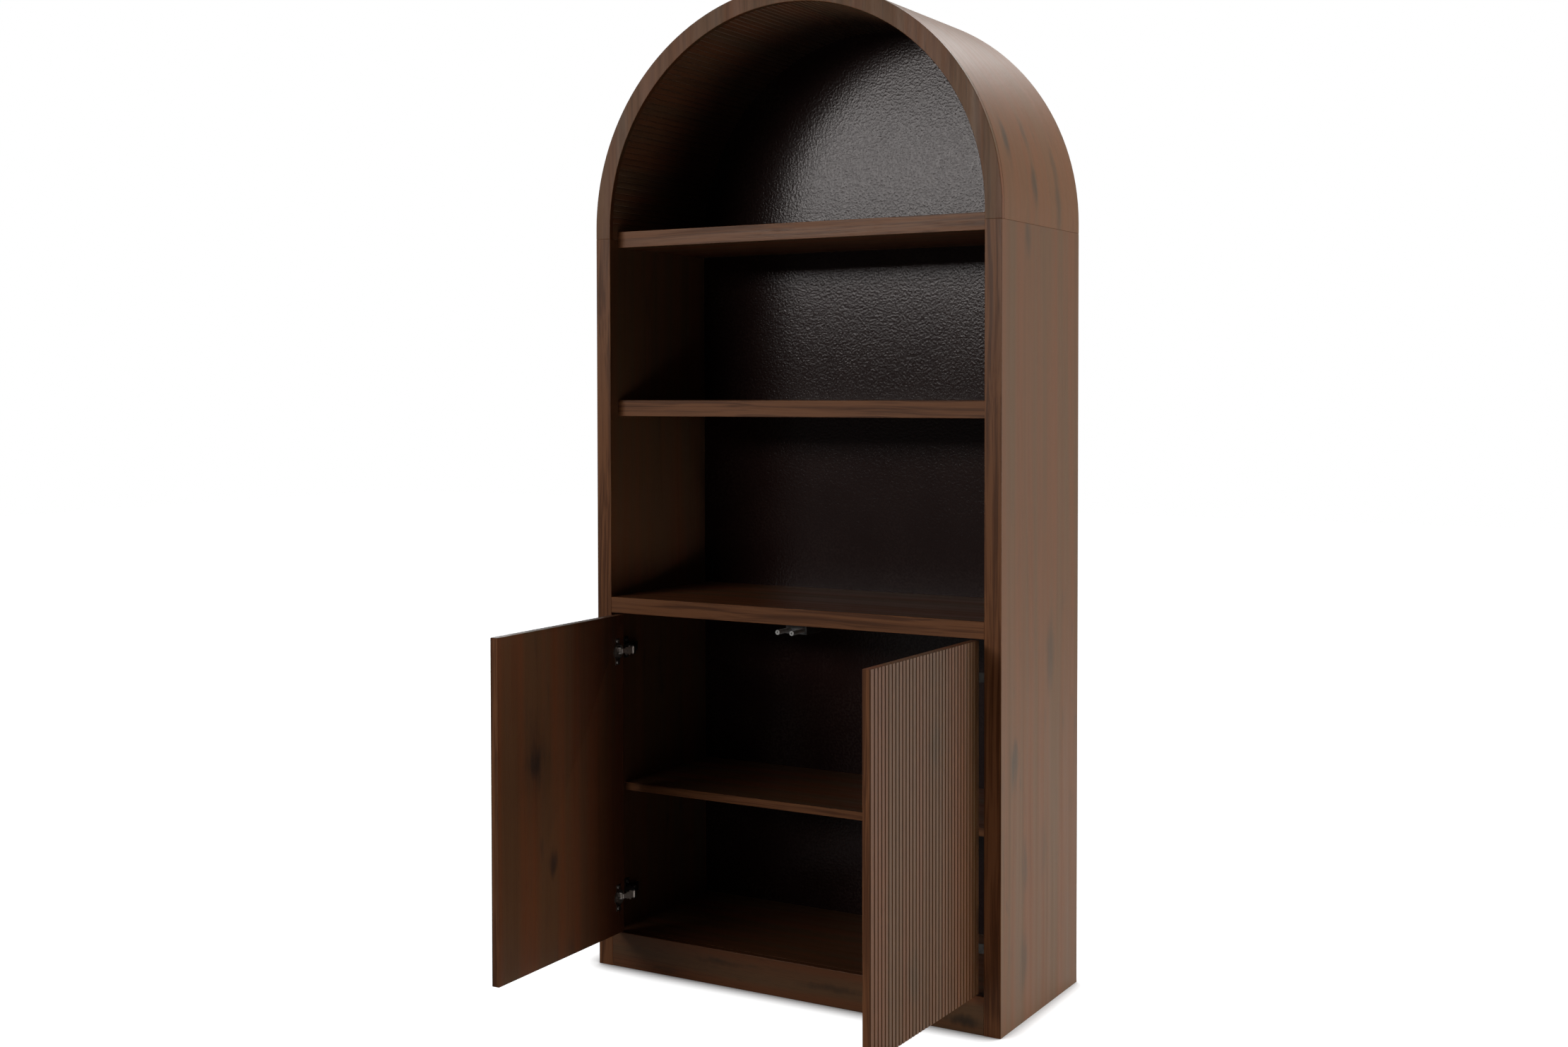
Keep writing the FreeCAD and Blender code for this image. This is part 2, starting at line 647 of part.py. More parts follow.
# Fixed boards between the sides
def fixed_board(name, setback, under, thickness):
    """Board from side to side that runs from a setback to the back panel."""
    slab = block("-" + INNER, from_front(setback), under, "2 * " + INNER,
                 "%s - (%s)" % (BACK_FACE, from_front(setback)), thickness)
    return keep(cut(slab, *(shelf_dowel_holes + back_screw_holes + latch_screw_holes)), name)


# Push latches: a double housing under the divider with two sprung plungers
LATCH_LEVEL = "(Dims.divider_height - Dims.latch_drop)"
HOUSING_UNDER = "(Dims.divider_height - Dims.housing_height)"
BORE_END = "(Dims.housing_setback + Dims.housing_length - Dims.housing_wall)"
PLUNGER_FRONT = "(-Dims.tip_reach + Dims.tip_length)"
PLUNGER_REAR = "(%s + Dims.plunger_length)" % PLUNGER_FRONT

SPRING_LENGTH = "%s - %s" % (BORE_END, PLUNGER_REAR)
LATCH_SCREW_LENGTH = "(Dims.housing_height + Dims.latch_screw_grip)"

latch_screws = []
latch_screw_holes = []
for way in ENDS:
    middle = "Dims.housing_setback + Dims.housing_length / 2"
    y = from_front("%s + %d * Dims.latch_screw_spread / 2" % (middle, way))
    shank = rod("z", "Dims.latch_screw_radius", LATCH_SCREW_LENGTH, "0", y, HOUSING_UNDER)
    head = rod("z", "Dims.screw_head_radius", "Dims.screw_head", "0", y, HOUSING_UNDER + " - Dims.screw_head")
    latch_screws.append(fuse(shank, head))
    latch_screw_holes.append(rod("z", "Dims.latch_screw_radius + Dims.screw_fit", LATCH_SCREW_LENGTH, "0", y,
                                 HOUSING_UNDER))
keep(together(*latch_screws), "latch_screws")

bores = []
for side, sign in SIDES:

    def along(radius, length, start):
        """Cylinder on one plunger's axis that starts a distance back from the front."""
        return rod("y", radius, length, "%d * Dims.latch_spread / 2" % sign, from_front(start), LATCH_LEVEL)

    bores.append(along("Dims.plunger_radius + Dims.plunger_fit", "Dims.housing_length - Dims.housing_wall",
                       "Dims.housing_setback"))
    tube = along("Dims.plunger_radius", "Dims.plunger_length", PLUNGER_FRONT)
    hollow = along("Dims.plunger_bore_radius", "Dims.plunger_length / 2",
                   PLUNGER_FRONT + " + Dims.plunger_length / 2")
    keep(cut(tube, hollow), "plunger_" + side)
    cap = along("Dims.tip_radius", "Dims.tip_length", "-Dims.tip_reach")
    dimple = along("Dims.tip_dimple_radius", "Dims.tip_dimple", "-Dims.tip_reach")
    keep(cut(cap, dimple), "plunger_tip_" + side)
    coil = along("Dims.spring_radius", SPRING_LENGTH, PLUNGER_REAR)
    core = along("Dims.spring_radius - Dims.spring_wire", SPRING_LENGTH, PLUNGER_REAR)
    keep(cut(coil, core), "spring_" + side)
housing = block("-Dims.housing_width / 2", from_front("Dims.housing_setback"), HOUSING_UNDER,
                "Dims.housing_width", "Dims.housing_length", "Dims.housing_height")
keep(cut(housing, *(bores + latch_screw_holes)), "latch_housing")

fixed_board("shelf_top", "Dims.shelf_setback", SHELF_TOP_UNDER, "Dims.shelf")
fixed_board("shelf_middle", "Dims.shelf_setback", "Dims.middle_height", "Dims.shelf")
fixed_board("divider", "0", "Dims.divider_height", "Dims.shelf")
fixed_board("bottom_board", "Dims.board", FLOOR_UNDER, "Dims.board")

# Loose shelf on its pins, and the base
loose_half = "(%s - Dims.loose_play)" % INNER
keep(block("-" + loose_half, from_front("Dims.loose_setback"), "Dims.loose_height", "2 * " + loose_half,
           "%s - Dims.loose_play - (%s)" % (BACK_FACE, from_front("Dims.loose_setback")), "Dims.board"),
     "cupboard_shelf")
kick = block("-" + INNER, FRONT, "0", "2 * " + INNER, "Dims.board", "Dims.plinth_height")
keep(cut(kick, *plinth_dowel_holes), "plinth_front")
rail = block("-" + INNER, "%s - Dims.board" % BACK_FACE, "0", "2 * " + INNER, "Dims.board", FLOOR_UNDER)
keep(cut(rail, *plinth_dowel_holes), "plinth_rear")
keep(block("-Dims.board / 2", from_front("Dims.board"), "0", "Dims.board",
           "%s - Dims.board - (%s)" % (BACK_FACE, from_front("Dims.board")), FLOOR_UNDER), "base_stretcher")

# Open the doors, check every piece and write the files
doc.recompute()
for thing, pose in poses:
    thing.Placement = pose
doc.recompute()
for thing in doc.Objects:
    if "Invalid" in thing.State or "Error" in thing.State:
        raise RuntimeError("%s did not rebuild" % thing.Label)
for thing in pieces:
    if thing.Shape.isNull() or not thing.Shape.isValid() or not thing.Shape.Solids:
        raise RuntimeError("%s has no sound shape" % thing.Label)
os.makedirs("parts", exist_ok=True)
for thing in pieces:
    thing.Shape.exportStep("parts/%s.step" % thing.Label)
print("%d pieces written" % len(pieces))
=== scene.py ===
import math

import bmesh
import bpy
from mathutils import Matrix, Vector


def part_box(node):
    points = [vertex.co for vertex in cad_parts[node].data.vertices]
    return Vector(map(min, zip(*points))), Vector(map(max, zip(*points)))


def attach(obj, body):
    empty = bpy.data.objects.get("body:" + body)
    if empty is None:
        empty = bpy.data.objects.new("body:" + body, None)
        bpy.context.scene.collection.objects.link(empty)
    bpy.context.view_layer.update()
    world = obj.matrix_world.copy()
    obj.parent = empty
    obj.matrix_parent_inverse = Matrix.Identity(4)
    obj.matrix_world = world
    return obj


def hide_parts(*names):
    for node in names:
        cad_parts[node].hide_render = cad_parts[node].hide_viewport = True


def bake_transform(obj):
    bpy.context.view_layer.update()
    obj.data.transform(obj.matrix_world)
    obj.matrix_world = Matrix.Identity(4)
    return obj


# Arched bookcase cabinet in dark walnut veneer, with its doors open, on a white studio floor.
# All lengths are metres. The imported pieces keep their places, and the boards get eased edges.
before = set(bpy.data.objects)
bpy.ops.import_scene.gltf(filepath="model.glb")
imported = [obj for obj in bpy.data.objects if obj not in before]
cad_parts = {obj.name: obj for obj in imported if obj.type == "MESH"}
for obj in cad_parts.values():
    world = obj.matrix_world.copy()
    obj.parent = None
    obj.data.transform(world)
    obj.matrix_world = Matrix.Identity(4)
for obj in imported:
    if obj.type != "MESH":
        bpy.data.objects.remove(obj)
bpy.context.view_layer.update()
scene = bpy.context.scene
scene.view_settings.view_transform = "Standard"


# Base: front and rear plinth boards, a stretcher between them and the floor of the cupboard.
# They are veneered chipboard with the grain from side to side, doweled and glued to the sides.
MERGE_DISTANCE = 1e-6
SLIVER = 2e-6
FLAT_ANGLE = math.radians(0.5)
SHARP_ANGLE = math.radians(35)
SMOOTH_ANGLE = math.radians(20)
BOARD_EASE = 0.0006
JOINT_EASE = 0.0011
LONG_EDGE = 0.05


def eased(name, body, material, ease=BOARD_EASE, least=LONG_EDGE):
    """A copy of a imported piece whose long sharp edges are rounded, as sanded edges are."""
    shape = bmesh.new()
    shape.from_mesh(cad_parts[name].data)
    bmesh.ops.remove_doubles(shape, verts=shape.verts, dist=MERGE_DISTANCE)
    bmesh.ops.dissolve_limit(shape, angle_limit=FLAT_ANGLE, verts=shape.verts, edges=shape.edges)
    edges = [edge for edge in shape.edges
             if edge.is_manifold and edge.calc_length() > least and edge.calc_face_angle() > SHARP_ANGLE]
    bmesh.ops.bevel(shape, geom=edges, offset=ease, offset_type="OFFSET", segments=2, profile=0.5,
                    affect="EDGES", clamp_overlap=True, material=-1)
    bmesh.ops.dissolve_degenerate(shape, dist=SLIVER, edges=shape.edges)
    mesh = bpy.data.meshes.new(name + "_eased")
    shape.to_mesh(mesh)
    shape.free()
    mesh.shade_smooth()
    mesh.set_sharp_from_angle(angle=SMOOTH_ANGLE)
    mesh.materials.clear()
    mesh.materials.append(material)
    piece = bpy.data.objects.new(name + "_eased", mesh)
    scene.collection.objects.link(piece)
    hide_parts(name)
    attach(piece, body)


def dress(material, *names):
    """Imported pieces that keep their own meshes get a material."""
    for name in names:
        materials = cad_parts[name].data.materials
        materials.clear()
        materials.append(material)


def add(tree, kind, inputs=None, **settings):
    """A shader node with its settings, and inputs given as plain values or as other nodes' outputs."""
    made = tree.nodes.new(kind)
    for key, value in settings.items():
        setattr(made, key, value)
    for key, value in (inputs or {}).items():
        if isinstance(value, bpy.types.NodeSocket):
            tree.links.new(value, made.inputs[key])
        else:
            made.inputs[key].default_value = value
    return made


def sums(tree, operation, first, second):
    """The result of one sum on two values. Sums on one value get 0 as the second."""
    return add(tree, "ShaderNodeMath", {0: first, 1: second}, operation=operation).outputs[0]


def vectors(tree, operation, first, second):
    """The result of one sum on two vectors."""
    return add(tree, "ShaderNodeVectorMath", {0: first, 1: second}, operation=operation).outputs[0]


def noise(tree, vector, stretch, shift=0.0, detail=2.0):
    """Soft noise at a number of waves per metre along each axis."""
    scaled = vectors(tree, "MULTIPLY", vector, stretch)
    moved = vectors(tree, "ADD", scaled, (shift, shift, shift))
    return add(tree, "ShaderNodeTexNoise", {"Vector": moved, "Scale": 1.0, "Detail": detail})


def between(tree, value, low, high):
    """0 below the low value, 1 above the high one and a smooth rise between them."""
    made = add(tree, "ShaderNodeMapRange", {"Value": value, "From Min": low, "From Max": high},
               interpolation_type="SMOOTHSTEP")
    return made.outputs[0]


def uneven_gloss(tree, value, at_low, at_high):
    """Roughness that follows a noise: one value where the noise is low and another where it is high."""
    made = add(tree, "ShaderNodeMapRange", {"Value": value, "From Min": 0.35, "From Max": 0.65,
                                            "To Min": at_low, "To Max": at_high})
    return made.outputs[0]


def mixed(tree, share, first, second):
    """The first colour, with a share of the second mixed in."""
    made = add(tree, "ShaderNodeMix", {0: share, 6: first, 7: second}, data_type="RGBA")
    return made.outputs[2]


def blank_material(name):
    """A material without any nodes, and its node tree."""
    material = bpy.data.materials.new(name)
    material.use_nodes = True
    material.node_tree.nodes.clear()
    return material, material.node_tree


def show(tree, shader):
    """Makes a shader node the one that the material shows."""
    output = add(tree, "ShaderNodeOutputMaterial")
    tree.links.new(shader.outputs[0], output.inputs["Surface"])


def new_group(name, inputs, outputs):
    """An empty shader group with named sockets, and its two end nodes."""
    tree = bpy.data.node_groups.new(name, "ShaderNodeTree")
    for label, kind in inputs:
        tree.interface.new_socket(label, in_out="INPUT", socket_type=kind)
    for label, kind in outputs:
        tree.interface.new_socket(label, in_out="OUTPUT", socket_type=kind)
    return tree, tree.nodes.new("NodeGroupInput"), tree.nodes.new("NodeGroupOutput")


WALNUT_RED = (0.138, 0.054, 0.022, 1)
WALNUT_GREY = (0.104, 0.059, 0.028, 1)
DARK_STREAK = (0.070, 0.032, 0.014, 1)
# Dark ring lines in the grain; the same colour is the painted shade in the door flutes.
RING_LINE_AND_FLUTE_SHADE = (0.040, 0.017, 0.008, 1)
GREY_SMUDGE = (0.050, 0.036, 0.022, 1)
PORE = (0.050, 0.023, 0.011, 1)
RING_RATE = 520
RING_DRIFT = 26
RING_SLANT = 0.7


def wandering(tree, place, waves, reach):
    """Coordinates that drift a little across the grain, so that its lines are never quite straight."""
    drift = vectors(tree, "SUBTRACT", noise(tree, place, waves).outputs["Color"], (0.5, 0.5, 0.5))
    return vectors(tree, "ADD", place, vectors(tree, "MULTIPLY", drift, (reach, reach, 0)))


def walnut_figure():
    """Veneer with its grain along Z: red and grey bands, streaks, ring lines, thin smudges and open pores."""
    tree, start, end = new_group("walnut_figure",
                                 [("Vector", "NodeSocketVector"), ("Contrast", "NodeSocketFloat")],
                                 [("Color", "NodeSocketColor"), ("Roughness", "NodeSocketFloat"),
                                  ("Height", "NodeSocketFloat")])
    place = start.outputs["Vector"]
    wander = wandering(tree, place, (2, 2, 0.8), 0.05)
    bands = noise(tree, wander, (22, 22, 0.7), detail=1).outputs[0]
    streaks = noise(tree, wander, (45, 45, 1.2), shift=7.3, detail=3).outputs[0]
    fibres = noise(tree, wander, (330, 330, 6)).outputs[0]
    pores = between(tree, noise(tree, wander, (950, 950, 28), detail=1).outputs[0], 0.60, 0.70)
    parts = add(tree, "ShaderNodeSeparateXYZ", {0: wander})
    across = sums(tree, "ADD", parts.outputs["X"], sums(tree, "MULTIPLY", parts.outputs["Y"], RING_SLANT))
    drift = noise(tree, place, (4.5, 4.5, 0.9), shift=3.1, detail=1).outputs[0]
    phase = sums(tree, "MULTIPLY", drift, RING_DRIFT)
    wave = sums(tree, "SINE", sums(tree, "ADD", sums(tree, "MULTIPLY", across, RING_RATE), phase), 0)
    where = between(tree, noise(tree, place, (6, 6, 1.2), shift=11).outputs[0], 0.50, 0.68)
    lines = sums(tree, "MULTIPLY", between(tree, wave, 0.45, 1.0), where)
    thin = between(tree, noise(tree, wander, (38, 38, 9), shift=23).outputs[0], 0.58, 0.76)
    patches = between(tree, noise(tree, place, (5, 5, 1.5), shift=31).outputs[0], 0.48, 0.62)
    smudges = sums(tree, "MULTIPLY", thin, patches)
    contrast = start.outputs["Contrast"]
    swing = sums(tree, "SUBTRACT", between(tree, bands, 0.36, 0.64), 0.5)
    greyness = sums(tree, "ADD", sums(tree, "MULTIPLY", swing, contrast), 0.5)
    colour = mixed(tree, greyness, WALNUT_RED, WALNUT_GREY)
    for mask, share, shade in ((between(tree, streaks, 0.50, 0.78), 0.38, DARK_STREAK),
                               (between(tree, fibres, 0.50, 0.80), 0.32, DARK_STREAK),
                               (lines, 0.25, RING_LINE_AND_FLUTE_SHADE), (smudges, 0.70, GREY_SMUDGE), (pores, 0.40, PORE)):
        strength = sums(tree, "MULTIPLY", contrast, share)
        colour = mixed(tree, sums(tree, "MULTIPLY", mask, strength), colour, shade)
    rough = uneven_gloss(tree, streaks, at_low=0.36, at_high=0.46)
    height = sums(tree, "SUBTRACT", sums(tree, "MULTIPLY", fibres, 0.4), sums(tree, "MULTIPLY", pores, 0.5))
    tree.links.new(colour, end.inputs["Color"])
    tree.links.new(rough, end.inputs["Roughness"])
    tree.links.new(height, end.inputs["Height"])
    return tree


BAND_LIGHT = (0.162, 0.062, 0.024, 1)
BAND_DARK = (0.074, 0.025, 0.009, 1)


def edge_band():
    """The redder strip of veneer on a board's front edge, cut so that its rings show as dark lines."""
    tree, start, end = new_group("edge_band", [("Vector", "NodeSocketVector")],
                                 [("Color", "NodeSocketColor")])
    wander = wandering(tree, start.outputs["Vector"], (5, 5, 1.6), 0.045)
    rings = noise(tree, wander, (120, 120, 1.6), shift=2.7, detail=3).outputs[0]
    fibres = noise(tree, wander, (420, 420, 7), shift=4.1).outputs[0]
    tone = sums(tree, "ADD", sums(tree, "MULTIPLY", rings, 0.7), sums(tree, "MULTIPLY", fibres, 0.3))
    tree.links.new(mixed(tree, between(tree, tone, 0.38, 0.58), BAND_DARK, BAND_LIGHT), end.inputs["Color"])
    return tree


def knot_mark():
    """A dark oval knot with a ragged edge, where the grain parts round a branch."""
    tree, start, end = new_group("knot_mark", [("Vector", "NodeSocketVector"), ("Place", "NodeSocketVector"),
                                               ("Spread", "NodeSocketVector")], [("Mask", "NodeSocketFloat")])
    apart = vectors(tree, "SUBTRACT", start.outputs["Vector"], start.outputs["Place"])
    oval = vectors(tree, "DIVIDE", apart, start.outputs["Spread"])
    ragged = noise(tree, start.outputs["Vector"], (60, 60, 14), detail=3).outputs["Color"]
    shifted = vectors(tree, "MULTIPLY", vectors(tree, "SUBTRACT", ragged, (0.5, 0.5, 0.5)), (1.1, 1.1, 1.1))
    reach = add(tree, "ShaderNodeVectorMath", {0: vectors(tree, "ADD", oval, shifted)}, operation="LENGTH")
    outside = between(tree, reach.outputs["Value"], 0.1, 1.0)
    tree.links.new(sums(tree, "SUBTRACT", 1.0, outside), end.inputs["Mask"])
    return tree


def upright(tree, place):
    """Coordinates for grain that stands upright, which are the piece's own."""
    return place


def side_to_side(tree, place):
    """Coordinates for grain that runs from one side to the other."""
    return add(tree, "ShaderNodeMapping", {"Vector": place, "Rotation": (0, math.pi / 2, 0)}).outputs[0]


VENEER_GLOSS = 0.16
LACQUER_TINT = (1.0, 0.90, 0.80, 1)
VENEER_BUMP = 0.0002
KNOT_COLOUR = (0.022, 0.014, 0.009, 1)
figure_group = walnut_figure()
band_group = edge_band()
knot_group = knot_mark()


def grouped(tree, group, vector):
    """A shared shader group, fed with coordinates."""
    made = add(tree, "ShaderNodeGroup", node_tree=group)
    tree.links.new(vector, made.inputs["Vector"])
    return made


def veneer(name, grain, marks=(), tint=(1, 1, 1, 1), band=1.0, stains_and_painted_light=(), contrast=1.0):
    """Satin walnut veneer. A mark has a place, a spread, a strength and a colour, band is the share of the
    edge strip on faces that look forward, and a layer is a mask with its colour: stain, painted shade or
    painted highlight."""
    material, tree = blank_material(name)
    coordinates = add(tree, "ShaderNodeTexCoord")
    place = coordinates.outputs["Object"]
    along = grain(tree, place)
    figure = grouped(tree, figure_group, along)
    figure.inputs["Contrast"].default_value = contrast
    colour = add(tree, "ShaderNodeMix", {0: 1.0, 6: figure.outputs["Color"], 7: tint}, data_type="RGBA",
                 blend_type="MULTIPLY").outputs[2]
    if band:
        facing = add(tree, "ShaderNodeSeparateXYZ", {0: coordinates.outputs["Normal"]}).outputs["Y"]
        front = sums(tree, "SUBTRACT", 1.0, between(tree, facing, -0.9, -0.7))
        strip = grouped(tree, band_group, along).outputs["Color"]
        colour = mixed(tree, sums(tree, "MULTIPLY", front, band), colour, strip)
    for spot, spread, strength, mark_colour in marks:
        mark = grouped(tree, knot_group, place)
        mark.inputs["Place"].default_value = spot
        mark.inputs["Spread"].default_value = spread
        colour = mixed(tree, sums(tree, "MULTIPLY", mark.outputs["Mask"], strength), colour, mark_colour)
    # Layers of stain, painted shade and painted highlight go over the colour.
    for mask, stain in stains_and_painted_light:
        colour = mixed(tree, mask(tree, coordinates), colour, stain)
    bump = add(tree, "ShaderNodeBump", {"Height": figure.outputs["Height"], "Strength": 0.5,
                                        "Distance": VENEER_BUMP})
    shader = add(tree, "ShaderNodeBsdfPrincipled", {
        "Base Color": colour, "Roughness": figure.outputs["Roughness"], "Normal": bump.outputs[0],
        "Specular IOR Level": VENEER_GLOSS, "Specular Tint": LACQUER_TINT})
    show(tree, shader)
    return material


WARM_TINT = (1.05, 0.88, 0.86, 1)
PLINTH_MARKS = [
    ((0.419, -0.21, 0.024), (0.050, 0.03, 0.018), 0.85, KNOT_COLOUR),
    ((0.120, -0.21, 0.040), (0.110, 0.03, 0.012), 0.55, KNOT_COLOUR),
    ((-0.180, -0.21, 0.052), (0.090, 0.03, 0.010), 0.45, KNOT_COLOUR),
]
PLINTH_TINT = (0.86, 0.78, 0.78, 1)
walnut_lengthwise = veneer("walnut_lengthwise", side_to_side, tint=WARM_TINT)
walnut_plinth = veneer("walnut_plinth", side_to_side, PLINTH_MARKS, PLINTH_TINT, band=0)
eased("plinth_front", "carcass", walnut_plinth, JOINT_EASE)
for name in ("plinth_rear", "base_stretcher", "bottom_board"):
    eased(name, "carcass", walnut_lengthwise)


# Sides: two thick uprights from the floor to the seam below the arch.
# Veneered boards with upright grain, grooved for the back panel and drilled for dowels and hinge plates.
SIDE_MARKS = [
    ((0.5, -0.146, 0.543), (0.03, 0.028, 0.075), 0.90, GREY_SMUDGE),
    ((0.5, 0.050, 0.757), (0.03, 0.034, 0.120), 0.60, GREY_SMUDGE),
    ((0.5, -0.087, 0.325), (0.03, 0.022, 0.085), 0.65, GREY_SMUDGE),
    ((0.5, 0.013, 0.339), (0.03, 0.020, 0.085), 0.40, GREY_SMUDGE),
    ((0.5, -0.093, 0.123), (0.03, 0.028, 0.095), 0.65, GREY_SMUDGE),
    ((0.5, -0.079, 1.630), (0.03, 0.020, 0.065), 0.65, GREY_SMUDGE),
]
walnut_upright = veneer("walnut_upright", upright, SIDE_MARKS, contrast=0.65)
for name in ("side_left", "side_right"):
    eased(name, "carcass", walnut_upright, JOINT_EASE)


# Shelves: two fixed shelves and the divider above the cupboard, doweled between the sides,
# and a thinner loose shelf that lies on four pins. The grain runs from side to side.
for name in ("shelf_top", "shelf_middle", "divider", "cupboard_shelf"):
    eased(name, "carcass", walnut_lengthwise)


# Back panels: thin dark boards with an embossed, linen-like film and a satin sheen.
# The lower one slides in the grooves of the sides and the upper one sits behind the arch lining.
BACK_DARK = (0.0130, 0.0050, 0.0042, 1)
BACK_LIGHT = (0.0240, 0.0130, 0.0110, 1)
BACK_SHEEN = (1.0, 0.95, 0.93, 1)
BACK_GLOSS = 0.125
FILM_BUMP = 0.0009
THREAD_SHARE = 0.25


def linen_film():
    """Dark film, embossed with fine specks and faint crossing threads."""
    material, tree = blank_material("linen_film")
    place = add(tree, "ShaderNodeTexCoord").outputs["Object"]
    warp_threads = noise(tree, place, (230, 230, 60)).outputs[0]
    weft_threads = noise(tree, place, (60, 60, 230), shift=5.7).outputs[0]
    threads = sums(tree, "MAXIMUM", warp_threads, weft_threads)
    specks = noise(tree, place, (190, 190, 190), shift=9.1, detail=2).outputs[0]
    clouds = noise(tree, place, (9, 9, 9), detail=3).outputs[0]
    relief = sums(tree, "ADD", sums(tree, "MULTIPLY", threads, THREAD_SHARE), specks)
    shade = sums(tree, "MULTIPLY", between(tree, specks, 0.35, 0.70), between(tree, clouds, 0.2, 0.8))
    rough = uneven_gloss(tree, specks, at_low=0.22, at_high=0.16)
    bump = add(tree, "ShaderNodeBump", {"Height": relief, "Strength": 0.5, "Distance": FILM_BUMP})
    shader = add(tree, "ShaderNodeBsdfPrincipled", {
        "Base Color": mixed(tree, shade, BACK_DARK, BACK_LIGHT), "Roughness": rough,
        "Normal": bump.outputs[0], "Specular IOR Level": BACK_GLOSS, "Specular Tint": BACK_SHEEN})
    show(tree, shader)
    return material


dress(linen_film(), "back_upper", "back_lower")


# Arch: a bent shell with the grain round the curve, a front ring sawn from upright veneered board
# and a lining of narrow ribs that run from front to back. The three layers are glued together.
SPRING_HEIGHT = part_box("arch_shell")[1].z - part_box("arch_shell")[1].x
ARCH_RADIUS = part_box("arch_shell")[1].x
ARCH_EDGE = 0.004
RIB_EASE = 0.0006
RING_TINT = (1.02, 0.96, 0.90, 1)
LINING_TINT = (1.55, 1.48, 1.60, 1)
# Painted highlight colour for the groove walls of the arch lining.
PAINTED_WALL_HIGHLIGHT = (0.46, 0.33, 0.24, 1)
# Painted shade colour for the back of the arch lining.
PAINTED_REAR_SHADE_COLOUR = (0.018, 0.009, 0.006, 1)
SHADE_START = -0.14
SHADE_FULL = 0.09
SHADE_SHARE = 0.85
ARCH_TINT = (1.10, 1.06, 1.0, 1)
ARCH_MARKS = [
    ((0.478, -0.144, 1.826), (0.05, 0.020, 0.070), 0.85, GREY_SMUDGE),
    ((0.496, -0.034, 1.742), (0.05, 0.020, 0.075), 0.75, GREY_SMUDGE),
    ((0.499, 0.093, 1.708), (0.05, 0.024, 0.095), 0.60, GREY_SMUDGE),
    ((0.486, 0.094, 1.796), (0.05, 0.018, 0.065), 0.45, GREY_SMUDGE),
    ((0.471, -0.032, 1.848), (0.05, 0.018, 0.060), 0.45, GREY_SMUDGE),
]


def round_arch(tree, place):
    """Coordinates that bend with the arch: out from its axis, front to back, and along the curve."""
    parts = add(tree, "ShaderNodeSeparateXYZ", {0: place})
    rise = sums(tree, "SUBTRACT", parts.outputs["Z"], SPRING_HEIGHT)
    turn = sums(tree, "ARCTAN2", parts.outputs["X"], rise)
    along = sums(tree, "MULTIPLY", turn, ARCH_RADIUS)
    squares = sums(tree, "ADD", sums(tree, "MULTIPLY", parts.outputs["X"], parts.outputs["X"]),
                   sums(tree, "MULTIPLY", rise, rise))
    out = sums(tree, "SQRT", squares, 0)
    return add(tree, "ShaderNodeCombineXYZ", {0: out, 1: parts.outputs["Y"], 2: along}).outputs[0]


def front_to_back(tree, place):
    """Coordinates for grain that runs from the front to the back."""
    return add(tree, "ShaderNodeMapping", {"Vector": place, "Rotation": (math.pi / 2, 0, 0)}).outputs[0]


def painted_wall_highlight_mask(tree, coordinates):
    """Painted highlight: the side walls of the grooves between the ribs are coloured paler than the ribs."""
    parts = add(tree, "ShaderNodeSeparateXYZ", {0: coordinates.outputs["Object"]})
    rise = sums(tree, "SUBTRACT", parts.outputs["Z"], SPRING_HEIGHT)
    outward = add(tree, "ShaderNodeCombineXYZ", {0: parts.outputs["X"], 2: rise}).outputs[0]
    unit = add(tree, "ShaderNodeVectorMath", {0: outward}, operation="NORMALIZE").outputs[0]
    normal = coordinates.outputs["Normal"]
    across = add(tree, "ShaderNodeVectorMath", {0: unit, 1: normal}, operation="DOT_PRODUCT").outputs["Value"]
    ends = sums(tree, "ABSOLUTE", add(tree, "ShaderNodeSeparateXYZ", {0: normal}).outputs["Y"], 0)
    steep = sums(tree, "SUBTRACT", 1.0, between(tree, sums(tree, "ABSOLUTE", across, 0), 0.4, 0.9))
    return sums(tree, "MULTIPLY", steep, sums(tree, "SUBTRACT", 1.0, between(tree, ends, 0.2, 0.6)))


def painted_rear_shade(tree, coordinates):
    """Painted shade: the ribs and grooves get darker towards the back of the arch."""
    back = add(tree, "ShaderNodeSeparateXYZ", {0: coordinates.outputs["Object"]}).outputs["Y"]
    return sums(tree, "MULTIPLY", between(tree, back, SHADE_START, SHADE_FULL), SHADE_SHARE)


arch_walnut = veneer("walnut_round_arch", round_arch, ARCH_MARKS, ARCH_TINT, contrast=0.35)
ring_walnut = veneer("walnut_ring", upright, tint=RING_TINT, band=0.45)
# The lining gets a painted highlight on its groove walls and painted shade towards its back.
lining_walnut = veneer("walnut_front_to_back", front_to_back, tint=LINING_TINT,
                       stains_and_painted_light=[(painted_wall_highlight_mask, PAINTED_WALL_HIGHLIGHT), (painted_rear_shade, PAINTED_REAR_SHADE_COLOUR)])
eased("arch_shell", "carcass", arch_walnut, JOINT_EASE, ARCH_EDGE)
eased("arch_front_ring", "carcass", ring_walnut, JOINT_EASE, ARCH_EDGE)
eased("arch_lining", "carcass", lining_walnut, RIB_EASE)


# Dowels, shelf pins and screws: turned beech dowels inside the boards, and zinc plated steel pins and screws.
# Only the screws on the back and the pins below the loose shelf can be seen.
WORN_SHADE = 0.72
BRUSH_BUMP = 0.00005
BEECH_DARK = (0.42, 0.27, 0.15, 1)
BEECH_PALE = (0.60, 0.42, 0.26, 1)
BEECH_BUMP = 0.0001


